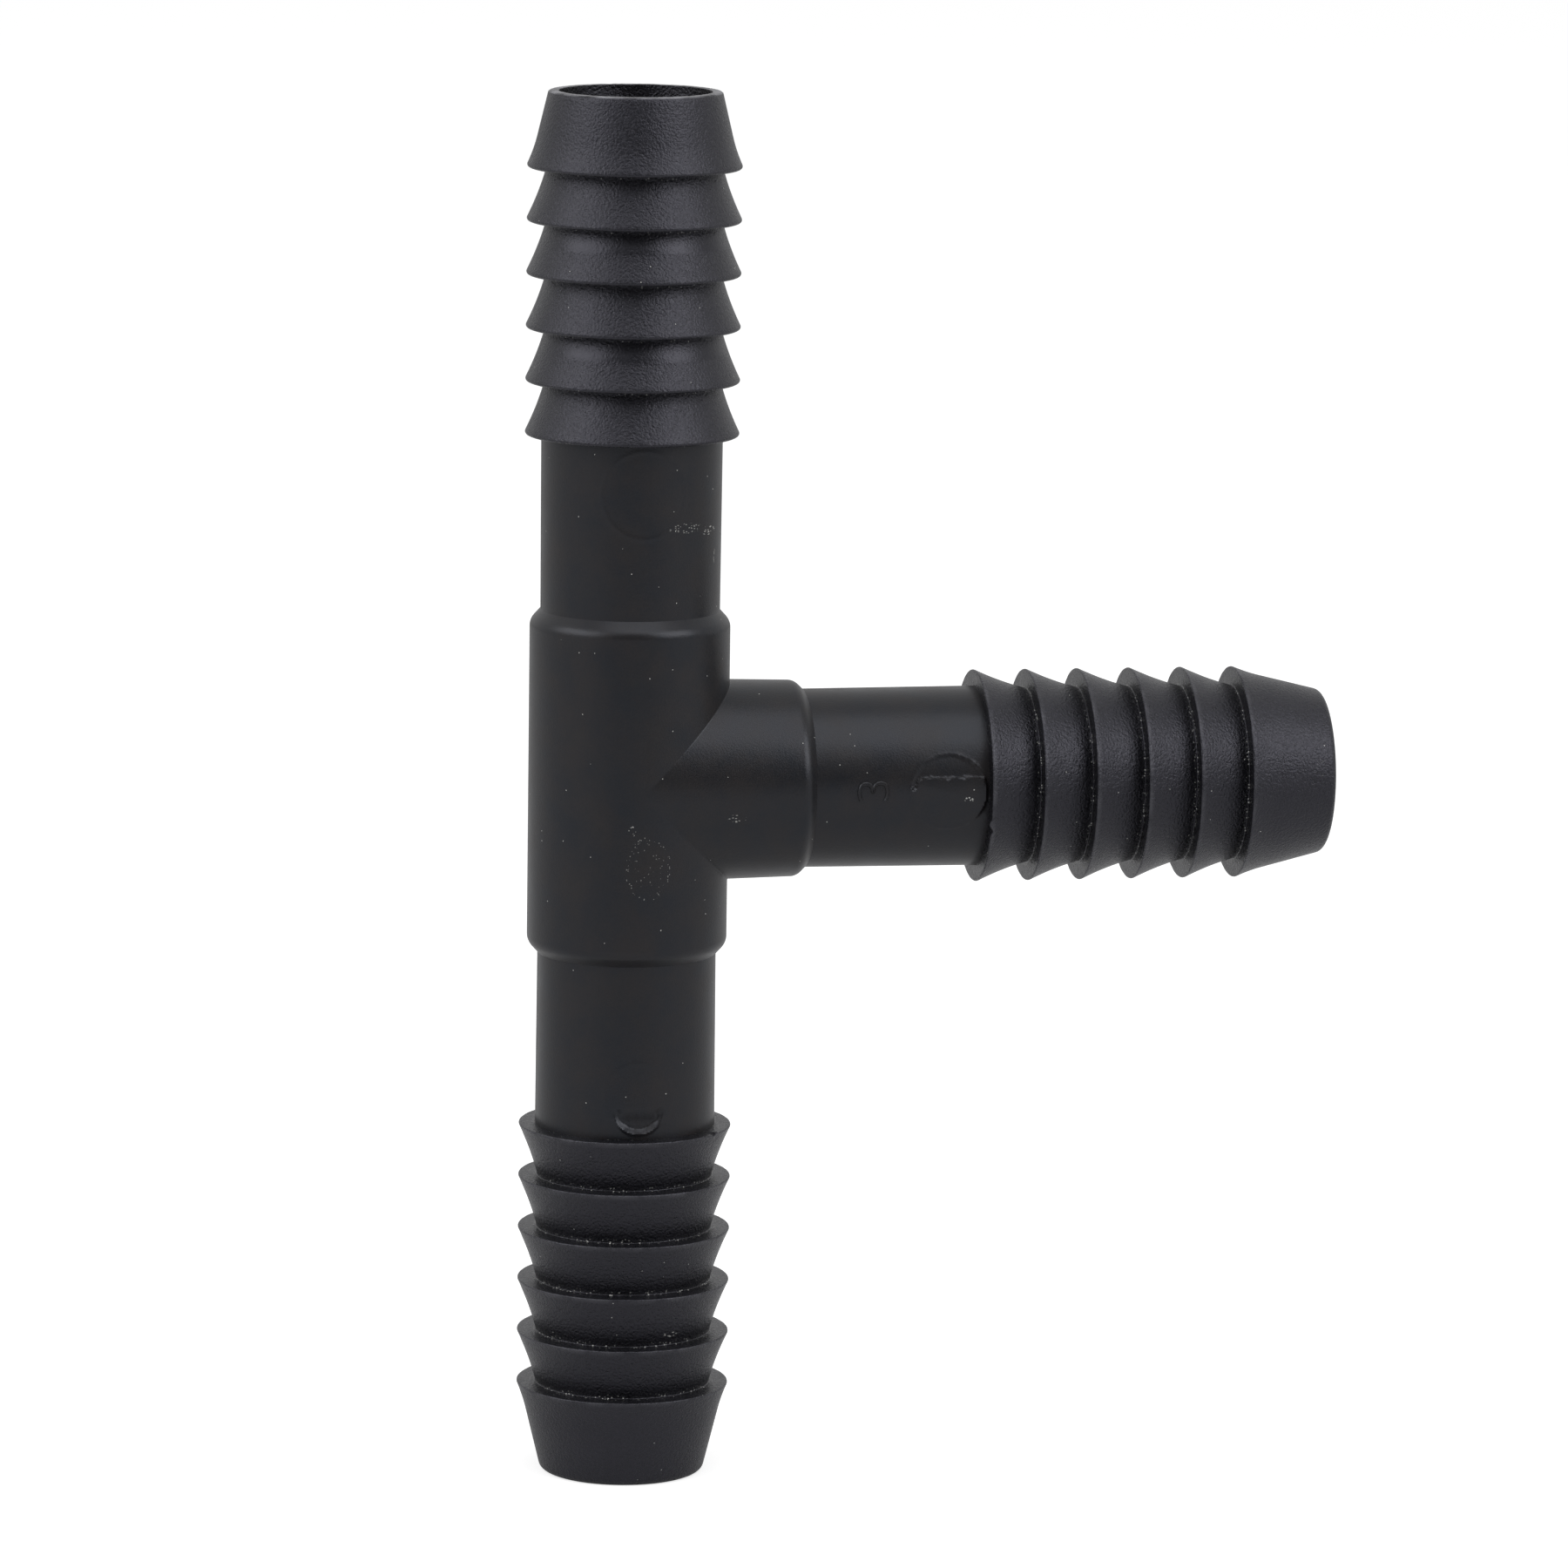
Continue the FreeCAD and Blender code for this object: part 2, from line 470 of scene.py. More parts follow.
    def _wear_highlight_and_shade(
        self, tree: bpy.types.NodeTree, place: bpy.types.NodeSocket, colour: bpy.types.NodeSocket
    ) -> bpy.types.NodeSocket:
        """Lightens the crests in patches, for rubbing and as a painted highlight along their edge,
        paints a highlight on the cut end, and paints shade into the bore and the groove roots.

        Args:
            tree: the material's node tree.
            place: object coordinates in metres.
            colour: the colour before.

        Returns:
            The colour after.
        """
        # Crest lightening in patches: rubbing, and a painted highlight along the crest edges.
        crest = add_node(tree, "ShaderNodeAttribute", {"attribute_name": "crest"})
        patch = add_node(
            tree, "ShaderNodeTexNoise", values={"Scale": 1 / (self.wear_and_highlight_patch * MM), "Detail": 5.0},
            links={"Vector": place},
        )
        rub_and_highlight_patches = add_node(
            tree, "ShaderNodeMapRange", values={"From Min": 0.34, "From Max": 0.62},
            links={"Value": patch.outputs[0]},
        )
        share = add_node(
            tree, "ShaderNodeMath", MULTIPLY, links={0: crest.outputs["Fac"], 1: rub_and_highlight_patches.outputs[0]}
        )
        # Painted shade: the bore and the groove roots are darkened in colour.
        painted_shade = add_node(tree, "ShaderNodeAttribute", {"attribute_name": "painted_shade"})
        for shade, mask in ((self.worn_and_highlight, share.outputs[0]), (self.painted_shade, painted_shade.outputs["Fac"])):
            mix = add_node(
                tree, "ShaderNodeMix", OF_COLOURS, {COLOUR_B: linear(shade)},
                {FACTOR: mask, COLOUR_A: colour},
            )
            colour = mix.outputs[COLOUR_OUT]
        return colour

    def _specks(
        self, tree: bpy.types.NodeTree, place: bpy.types.NodeSocket, dust: Dust
    ) -> bpy.types.NodeSocket:
        """Scatters specks.

        Args:
            tree: the material's node tree.
            place: the coordinates of the pattern.
            dust: the spacing, size and share of the specks.

        Returns:
            A mask that is 1 on a speck.
        """
        cells = add_node(
            tree, "ShaderNodeTexVoronoi",
            values={"Scale": 1 / (dust.spacing * MM), "Randomness": 1.0}, links={"Vector": place},
        )
        near = add_node(
            tree, "ShaderNodeMath", {"operation": "LESS_THAN"}, {1: dust.size / dust.spacing},
            {0: cells.outputs["Distance"]},
        )
        tone = add_node(tree, "ShaderNodeSeparateColor", links={0: cells.outputs["Color"]})
        chance = add_node(
            tree, "ShaderNodeMath", {"operation": "LESS_THAN"}, {1: dust.kept}, {0: tone.outputs[0]}
        )
        both = add_node(
            tree, "ShaderNodeMath", MULTIPLY, links={0: near.outputs[0], 1: chance.outputs[0]}
        )
        return both.outputs[0]

    def _scuff(
        self, tree: bpy.types.NodeTree, place: bpy.types.NodeSocket, scuff: Scuff
    ) -> bpy.types.NodeSocket:
        """Breaks up one rubbed place into fine flecks.

        Args:
            tree: the material's node tree.
            place: object coordinates in metres.
            scuff: where it is and how dense.

        Returns:
            A mask that is up to the scuff's strength on the flecks.
        """
        local = add_node(
            tree, "ShaderNodeMapping", {"vector_type": "TEXTURE"},
            {
                "Location": tuple(c * MM for c in scuff.centre),
                "Scale": tuple(s * MM for s in scuff.size),
            },
            {"Vector": place},
        )
        fade = add_node(
            tree, "ShaderNodeTexGradient", {"gradient_type": "SPHERICAL"},
            links={"Vector": local.outputs[0]},
        )
        inside = add_node(
            tree, "ShaderNodeMapRange",
            values={"From Min": 0.02, "From Max": 0.25, "To Max": scuff.strength},
            links={"Value": fade.outputs[1]},
        )
        if scuff.hollow:
            inside = add_node(
                tree, "ShaderNodeMath", {"operation": "COMPARE"},
                {1: scuff.band, 2: scuff.band_width}, {0: fade.outputs[1]},
            )
            inside = add_node(
                tree, "ShaderNodeMath", MULTIPLY, {1: scuff.strength}, {0: inside.outputs[0]}
            )
        stretch = add_node(
            tree, "ShaderNodeMapping", values={"Scale": tuple(1 / f for f in scuff.fleck)},
            links={"Vector": place},
        )
        cells = self._specks(tree, stretch.outputs[0], Dust(1.0, scuff.fleck_share, scuff.kept))
        mask = add_node(tree, "ShaderNodeMath", MULTIPLY, links={0: inside.outputs[0], 1: cells})
        return mask.outputs[0]

    def _relief(
        self,
        tree: bpy.types.NodeTree,
        place: bpy.types.NodeSocket,
        grain: bpy.types.NodeSocket,
        marks: list[bpy.types.NodeSocket],
    ) -> bpy.types.NodeSocket:
        """Raises the grain, the wave of the steel and the flecks.

        Args:
            tree: the material's node tree.
            place: object coordinates in metres.
            grain: the height of the grain.
            marks: the masks of the rubbed places.

        Returns:
            The normal.
        """
        heights = [(grain, self.grain_depth, 1.0)]
        if self.wave > 0.0:
            wave = add_node(
                tree, "ShaderNodeTexNoise",
                values={"Scale": 1 / (self.wave * MM), "Detail": 2.0, "Roughness": 0.5},
                links={"Vector": place},
            )
            heights.append((wave.outputs[0], self.wave_depth, 1.0))
        heights += [(mask, self.fleck_depth, 0.6) for mask in marks]
        below: dict[str | int, bpy.types.NodeSocket] = {}
        for height, depth, strength in heights:
            bump = add_node(
                tree, "ShaderNodeBump", values={"Strength": strength, "Distance": depth * MM},
                links={"Height": height, **below},
            )
            below = {"Normal": bump.outputs[0]}
        return below["Normal"]


# Spark-eroded steel leaves an even dull grain of about a quarter of a millimetre, so the barbs
# look charcoal and matte with a slight cold tint.
SPARK_ERODED = MouldedPlastic(
    name="black_polyamide_moulded_on_spark_eroded_steel",
    deep="#0c0c0f",
    pale="#17171b",
    mottle=2.4,
    gloss_low=0.25,
    gloss_high=0.35,
    grain=0.27,
    grain_depth=0.11,
    grain_tone=0.7,
    specular=0.5,
    sheen_tint="#efeeff",
    groove_dust=Dust(0.32, 0.085, 0.55),
    # Crest lightening: rubbing, and a painted highlight on the crest edges and the cut rim; the bore
    # and groove roots get painted shade.
    worn_and_highlight="#77777c",
    scuffs=(
        Scuff((3.8, -8.9, -58.1), (0.9, 1.2, 0.35), (0.5, 0.4, 0.16), 0.7),
        Scuff((72.6, -7.6, 1.9), (1.6, 1.6, 1.5), (0.20, 0.20, 0.20), 0.5, 0.30),
    ),
)

# Turned and lightly polished steel leaves the hub and the necks darker and more satin, with
# a faint wave from the toolmaker's stone and a few rubbed places.
POLISHED_STEEL = MouldedPlastic(
    name="black_polyamide_moulded_on_polished_steel",
    deep="#101216",
    pale="#1c1816",
    mottle=4.5,
    gloss_low=0.31,
    gloss_high=0.37,
    specular=0.43,
    sheen_tint="#eff3ff",
    grain=0.20,
    grain_depth=0.016,
    grain_tone=0.25,
    wave=1.6,
    wave_depth=0.012,
    scuffs=(
        Scuff((4.6, -8.3, 28.0), (2.4, 2.4, 0.6), (0.30, 0.30, 0.14), 0.40, 0.5),
        Scuff((7.3, -6.0, 27.5), (1.3, 1.6, 0.6), (0.60, 0.50, 0.12), 0.6, 0.8),
        Scuff((8.0, -5.1, 24.6), (0.5, 0.8, 0.9), (0.20, 0.20, 0.60), 0.5, 0.4),
        Scuff((0.6, -10.5, -7.6), (3.0, 3.0, 4.2), (0.17, 0.17, 0.17), 0.24, 0.36, True),
        Scuff((0.6, -10.5, -7.6), (2.2, 2.0, 3.1), (0.16, 0.16, 0.16), 0.07, 0.28),
        Scuff((-1.1, -10.5, -3.4), (0.5, 0.8, 0.6), (0.22, 0.22, 0.22), 0.5),
        Scuff((10.0, -10.2, -2.5), (1.1, 1.0, 0.5), (0.34, 0.34, 0.13), 0.4),
        Scuff((34.9, -9.4, -0.9), (0.7, 0.8, 0.5), (0.30, 0.30, 0.26), 0.7, 0.8),
    ),
)


@dataclass
class Camera:
    """The long lens that the tee was seen through, a little to its left and from above."""

    lens: float = 200.0
    sensor: float = 36.0
    distance: float = 921.3
    yaw: float = 1.024
    pitch: float = 0.0247
    back: tuple[float, float, float] = (-0.14972, -0.97447, 0.16727)
    right: tuple[float, float, float] = (0.98862, -0.15003, 0.01083)

    def build(self) -> bpy.types.Object:
        """Builds the camera, makes it the scene's own and returns it."""
        data = bpy.data.cameras.new("camera")
        data.lens = self.lens
        data.sensor_width = self.sensor
        data.clip_start = 0.05
        data.clip_end = 50.0
        back = Vector(self.back).normalized()
        right = (Vector(self.right) - Vector(self.right).dot(back) * back).normalized()
        axes = Matrix((right, back.cross(right), back)).transposed()
        turn = Matrix.Rotation(-math.radians(self.yaw), 3, "Y")
        nod = Matrix.Rotation(-math.radians(self.pitch), 3, "X")
        camera = put_in_scene("camera", data)
        stand = Matrix.Translation(back * self.distance * MM)
        camera.matrix_world = stand @ (axes @ turn @ nod).to_4x4()
        bpy.context.scene.camera = camera
        return camera


@dataclass(frozen=True)
class Lamp:
    """One softbox: where it stands, its size in metres and its power in watts."""

    name: str
    place: tuple[float, float, float]
    size: tuple[float, float]
    power: float

    def build(self) -> bpy.types.Object:
        """Hangs the softbox, points it at the tee and returns it."""
        data = bpy.data.lights.new(self.name, "AREA")
        data.shape = "RECTANGLE"
        data.size, data.size_y = self.size
        data.energy = self.power
        light = put_in_scene(self.name, data)
        light.location = self.place
        light.visible_camera = False
        light.rotation_euler = (-Vector(self.place)).to_track_quat("-Z", "Y").to_euler()
        return light


@dataclass
class Studio:
    """A plain pale floor, a white surround that is darker behind the camera, and softboxes."""

    floor_level: float = -74.6
    floor_size: float = 40.0
    surround: float = 0.50
    around: float = 0.62
    behind_camera: float = 0.14
    dim_to: tuple[float, float] = (-0.95, -0.55)
    paper: str = "#c8c8c8"
    glow: float = 0.68
    glossy_glow: float = 0.08
    lamps: tuple[Lamp, ...] = (
        Lamp("left_softbox", (-1.10, -0.26, 0.70), (1.25, 0.80), 6.9),
        Lamp("right_softbox", (0.84, -0.74, 0.70), (0.90, 0.80), 6.2),
        Lamp("top_softbox", (0.05, -0.38, 1.04), (0.90, 0.90), 3.1),
    )

    def build(self) -> None:
        """Builds the world, the floor and the lamps."""
        self._world()
        self._floor()
        for lamp in self.lamps:
            lamp.build()

    def _seen(self, tree: bpy.types.NodeTree, gloss: float) -> bpy.types.NodeSocket:
        """Weighs the rays that see a backdrop.

        Args:
            tree: the backdrop's node tree.
            gloss: how much rays off a gloss count.

        Returns:
            1 for rays from the camera or through glass, the gloss for those off a gloss.
        """
        rays = add_node(tree, "ShaderNodeLightPath")
        seen = add_node(
            tree, "ShaderNodeMath", MULTIPLY, {1: gloss}, {0: rays.outputs["Is Glossy Ray"]}
        )
        for ray in ("Is Camera Ray", "Is Transmission Ray"):
            seen = add_node(
                tree, "ShaderNodeMath", {"operation": "MAXIMUM"},
                links={0: seen.outputs[0], 1: rays.outputs[ray]},
            )
        return seen.outputs[0]

    def _world(self) -> None:
        """Makes the surround white to look at, softer as a light, and dim behind the camera."""
        world = bpy.data.worlds.new("white_surround")
        world.use_nodes = True
        tree = world.node_tree
        tree.nodes.clear()
        heading = add_node(
            tree, "ShaderNodeSeparateXYZ",
            links={0: add_node(tree, "ShaderNodeTexCoord").outputs["Generated"]},
        )
        room = add_node(
            tree, "ShaderNodeMapRange", {"interpolation_type": "SMOOTHSTEP"},
            {
                "From Min": self.dim_to[0],
                "From Max": self.dim_to[1],
                "To Min": self.behind_camera,
                "To Max": self.around,
            },
            {"Value": heading.outputs["Y"]},
        )
        rays = add_node(tree, "ShaderNodeLightPath")
        plain = add_node(
            tree, "ShaderNodeMapRange", values={"To Min": self.surround, "To Max": 1.0},
            links={"Value": self._seen(tree, 1.0)},
        )
        strength = add_node(
            tree, "ShaderNodeMix",
            links={
                FACTOR: rays.outputs["Is Glossy Ray"],
                VALUE_A: plain.outputs[0],
                VALUE_B: room.outputs[0],
            },
        )
        sky = add_node(
            tree, "ShaderNodeBackground", values={"Color": linear("#ffffff")},
            links={"Strength": strength.outputs[0]},
        )
        add_node(tree, "ShaderNodeOutputWorld", links={"Surface": sky.outputs[0]})
        bpy.context.scene.world = world

    def _floor(self) -> None:
        """Lays the floor, which looks white and still holds the shadow."""
        shell = bmesh.new()
        bmesh.ops.create_grid(shell, x_segments=1, y_segments=1, size=self.floor_size / 2)
        bmesh.ops.translate(shell, vec=(0.0, 0.0, self.floor_level * MM), verts=shell.verts)
        mesh = bpy.data.meshes.new("studio_floor")
        shell.to_mesh(mesh)
        shell.free()
        material = bpy.data.materials.new("matt_white_paper")
        material.use_nodes = True
        tree = material.node_tree
        tree.nodes.clear()
        paper = add_node(tree, "ShaderNodeBsdfDiffuse", values={"Color": linear(self.paper)})
        level = add_node(
            tree, "ShaderNodeMath", MULTIPLY, {1: self.glow},
            {0: self._seen(tree, self.glossy_glow / self.glow)},
        )
        glow = add_node(
            tree, "ShaderNodeEmission", values={"Color": linear("#ffffff")},
            links={"Strength": level.outputs[0]},
        )
        both = add_node(tree, "ShaderNodeAddShader", links={0: paper.outputs[0], 1: glow.outputs[0]})
        add_node(tree, "ShaderNodeOutputMaterial", links={"Surface": both.outputs[0]})
        mesh.materials.append(material)
        floor = put_in_scene("studio_floor", mesh)


@dataclass(frozen=True)
class Shoulder:
    """The end of a barrel, rounded over and sloped down to the neck.

    Start is where the round begins and foot where the slope meets the neck; high is the
    radius before it, size the round's own, and slope is in degrees.
    """

    start: float
    foot: float
    high: float
    size: float
    slope: float

    def outline(self) -> Outline:
        """Draws the shoulder from its start to its foot and returns its points."""
        over = arc(self.start, self.high - self.size, self.size, 90.0, 90.0 - self.slope, 9)
        return [*over, *spread(over[-1], (self.foot, NECK_RADIUS), 3)]


@dataclass
class Hub:
    """The crossing: a barrel on the run, a collar on the branch and the bores between them.

    Barrel and collar have the same radius where they cross, so that they meet on two flat
    mitres and their facets share every point of the crease.
    """

    barrel: Shoulder = Shoulder(16.5, 18.35, 10.59, 1.6, 41.5)
    collar: Shoulder = Shoulder(17.1, 18.65, 10.44, 1.4, 43.5)
    collar_straight: float = 10.7
    crease: float = 0.34
    crease_start: float = 0.6
    crisp: float = 24.0
    steps: int = 288

    def build(self, material: bpy.types.Material) -> bpy.types.Object:
        """Builds and dresses the hub.

        Args:
            material: the plastic's smooth skin.

        Returns:
            The piece.
        """
        upper = self.barrel.outline()
        lower = [(-reach, radius) for reach, radius in reversed(upper)]
        high = self.barrel.high
        collar = [(0.0, high), (self.collar_straight, high), *self.collar.outline()]
        shell = self._skin([*lower, *upper], collar)
        self._soften(shell)
        lining = self._skin(
            [(-self.barrel.foot, BORE_RADIUS), (self.barrel.foot, BORE_RADIUS)],
            [(0.0, BORE_RADIUS), (self.collar.foot, BORE_RADIUS)],
        )
        bmesh.ops.reverse_faces(lining, faces=lining.faces)
        join_into(shell, lining)
        for way in Way:
            foot = self.collar.foot if way is Way.BRANCH else self.barrel.foot
            rim = [
                edge
                for edge in shell.edges
                if edge.is_boundary and all(abs(way.along(dot.co) - foot) < ON_IT for dot in edge.verts)
            ]
            bmesh.ops.bridge_loops(shell, edges=rim)
        close_up(shell)
        return finish_piece(shell, "hub_moulding", material, ("tee_hub",), self.crisp)

    def _skin(self, run: Outline, branch: Outline) -> bmesh.types.BMesh:
        """Joins two turned skins on their mitres.

        Args:
            run: outline of the skin along z.
            branch: outline of the skin along x.

        Returns:
            One skin that is open at its three ends.
        """
        barrel = turned_shell(run, self.steps, closed=False)
        collar = turned_shell(branch, self.steps, closed=False)
        bmesh.ops.rotate(collar, matrix=Way.BRANCH.turn.to_3x3(), verts=collar.verts)
        for part, keep_branch in ((barrel, False), (collar, True)):
            for lean in (1.0, -1.0):
                bmesh.ops.bisect_plane(
                    part, geom=part.verts[:] + part.edges[:] + part.faces[:], dist=1e-5,
                    plane_co=(0.0, 0.0, 0.0), plane_no=(1.0, 0.0, lean),
                )
            off = [
                face
                for face in part.faces
                if self._in_branch(face.calc_center_median()) is not keep_branch
            ]
            bmesh.ops.delete(part, geom=off, context="FACES")
        join_into(barrel, collar)
        close_up(barrel, dist=2e-3)
        return barrel

    def _in_branch(self, point: Vector) -> bool:
        """Whether a point is on the branch's side of the mitres."""
        return point.x > abs(point.z)

    def _soften(self, shell: bmesh.types.BMesh) -> None:
        """Rounds the crease between barrel and collar, where they meet at an angle.

        Args:
            shell: the outer skin.
        """
        crease = [
            edge
            for edge in shell.edges
            if all(
                abs(dot.co.x - abs(dot.co.z)) < ON_IT and dot.co.x > self.crease_start
                for dot in edge.verts
            )
        ]
        bmesh.ops.bevel(
            shell, geom=crease, offset=self.crease, offset_type="OFFSET", affect="EDGES",
            segments=4, profile=0.5, material=-1, clamp_overlap=True,
        )


@dataclass(frozen=True)
class MouldMark:
    """A mark of the mould on the front of a neck.

    The centre is across and up as seen from the front. Past the margin round its radius the
    mark is gone.
    """

    kind: MarkKind
    centre: tuple[float, float]
    radius: float
    height: float
    margin: float = 1.2
    front: float = -5.0

    def lift(self, point: Vector, way: Way) -> float:
        """How far a point of the neck stands out because of this mark.

        Args:
            point: a place on the neck in millimetres.
            way: the way that the neck leads.

        Returns:
            The height in millimetres, below zero where it is sunk.
        """
        if point.y > self.front:
            return 0.0
        side = point.z if way is Way.BRANCH else point.x
        radius = math.hypot(side, point.y)
        across = math.asin(side / radius) * radius
        seen = (point.x, across) if way is Way.BRANCH else (across, point.z)
        u, v = seen[0] - self.centre[0], seen[1] - self.centre[1]
        far = math.hypot(u, v)
        if far > self.radius + self.margin:
            return 0.0
        wobble = noise.noise(point * 1.7) * 0.22 + noise.noise(point * 5.0) * 0.10
        if self.kind is MarkKind.RING:
            return self.height * bell(far - self.radius, 0.22) * (0.5 + wobble)
        if self.kind is MarkKind.HALF_MOON:
            return self.height * self._scoop(u, v, far, wobble)
        return self.height * self._step(u, v, far, wobble)

    def _scoop(self, u: float, v: float, far: float, wobble: float) -> float:
        """A dent that deepens downwards and ends in a round lip.

        Args:
            u: place across the mark.
            v: place up the mark.
            far: distance from the mark's centre.
            wobble: unevenness here.

        Returns:
            The height as a share of the mark's own.
        """
        ramp = clamped((0.1 - v) / 1.9)
        ramp = ramp * ramp * (3.0 - 2.0 * ramp)
        side = clamped((abs(u) - 1.3) / 0.9) * clamped(-v / 0.7)
        wall = clamped((self.radius - far) / 0.42 + 0.4 * wobble)
        lip = bell(far - self.radius - 0.10, 0.13)
        low = clamped(-0.25 - 1.6 * v / self.radius)
        ripple = 0.07 * math.sin(u * 7.0) * wall * ramp
        return -max(ramp, 0.8 * side) * wall + 0.30 * lip * low + ripple

    def _step(self, u: float, v: float, far: float, wobble: float) -> float:
        """A raised patch under a ragged step inside a ring.

        Args:
            u: place across the mark.
            v: place up the mark.
            far: distance from the mark's centre.
            wobble: unevenness here.

        Returns:
            The height as a share of the mark's own.
        """
        hook = bell(u + self.radius - 0.25, 0.40)
        line = 1.62 + 0.9 * wobble - 1.2 * hook
        inside = clamped((self.radius - far) / 0.25 + 0.5)
        under = clamped((line - v) / 0.15)
        fade = clamped((v + 3.2) / 3.2 + 0.35 * u / self.radius)
        above = clamped((v - line) / 0.15)
        sunk = -0.25 * inside * above
        bits = 0.0
        if u > 0.8 and v > 2.0:
            bits = 0.8 * max(0.0, noise.noise(Vector((u * 3.0, v * 3.0, 7.0))))
        rim = bell(far - self.radius, 0.16) * (0.16 + bits + 0.5 * wobble)
        return inside * under * fade + sunk + rim


@dataclass
class Neck:
    """The plain tube between the hub and a barbed end, with the marks of the mould.

    Points nearer to the axis than skin are on the bore.
    """

    way: Way
    start: float
    end: float
    marks: tuple[MouldMark, ...] = ()
    root_radius: float = NECK_RADIUS
    tip_radius: float = 9.55
    seam: float = 0.035
    ring_spacing: float = 0.16
    skin: float = 9.0
    steps: int = 384

    def build(self, material: bpy.types.Material) -> bpy.types.Object:
        """Builds and dresses the neck.

        Args:
            material: the plastic's smooth skin.

        Returns:
            The piece.
        """
        rings = int((self.end - self.start) / self.ring_spacing)
        root, tip = (self.start, self.root_radius), (self.end, self.tip_radius)
        mouths = (self.start, BORE_RADIUS), (self.end, BORE_RADIUS)
        outline = [mouths[0], root, *spread(root, tip, rings), mouths[1]]
        shell = turned_shell(outline, self.steps, closed=True)
        bmesh.ops.transform(shell, matrix=self.way.turn, verts=shell.verts)
        move_points(shell, self._relief)
        name = f"{self.way.word}_neck"
        return finish_piece(shell, f"{name}_tube", material, (name,))

    def _relief(self, point: Vector) -> Vector:
        """The movement of a point for the parting line and the marks.

        Args:
            point: a place on the neck in millimetres.

        Returns:
            The movement, none on the bore and the two end faces.
        """
        reach = self.way.along(point)
        out = point - self.way.axis * reach
        on_skin = out.length >= self.skin and self.start + 0.01 <= reach <= self.end - 0.01
        if not on_skin:
            return Vector((0.0, 0.0, 0.0))
        height = sum(mark.lift(point, self.way) for mark in self.marks)
        if abs(point.y) < PARTING:
            height += self.seam * (0.7 + 0.6 * noise.noise(point * 0.6))
        return out.normalized() * height


@dataclass(frozen=True)
class Nick:
    """A burr beside a dent on the first crest: its centre, half width and depth.

    It reaches over a height of the crest's face and a length of its flank.
    """

    centre: tuple[float, float, float]
    width: float = 0.9
    depth: float = 0.22
    face: float = 0.8
    flank: float = 0.7

    def push(self, point: Vector, axis: Vector, out: Vector) -> float:
        """How far a point is pushed along the way because of this nick.

        Args:
            point: a place on the barbed end in millimetres.
            axis: the way's axis.
            out: the direction away from the axis at the point.

        Returns:
            The push in millimetres, below zero towards the hub.
        """
        away = point - Vector(self.centre)
        span = away.dot(axis.cross(out)) / self.width
        if away.length > 2.0 * self.width or abs(span) > 1.0:
            return 0.0
        on_face = max(0.0, 1.0 - abs(away.dot(out)) / self.face)
        on_flank = max(0.0, 1.0 - abs(away.dot(axis)) / self.flank)
        return self.depth * (on_face * on_flank) * math.sin(math.pi * span)


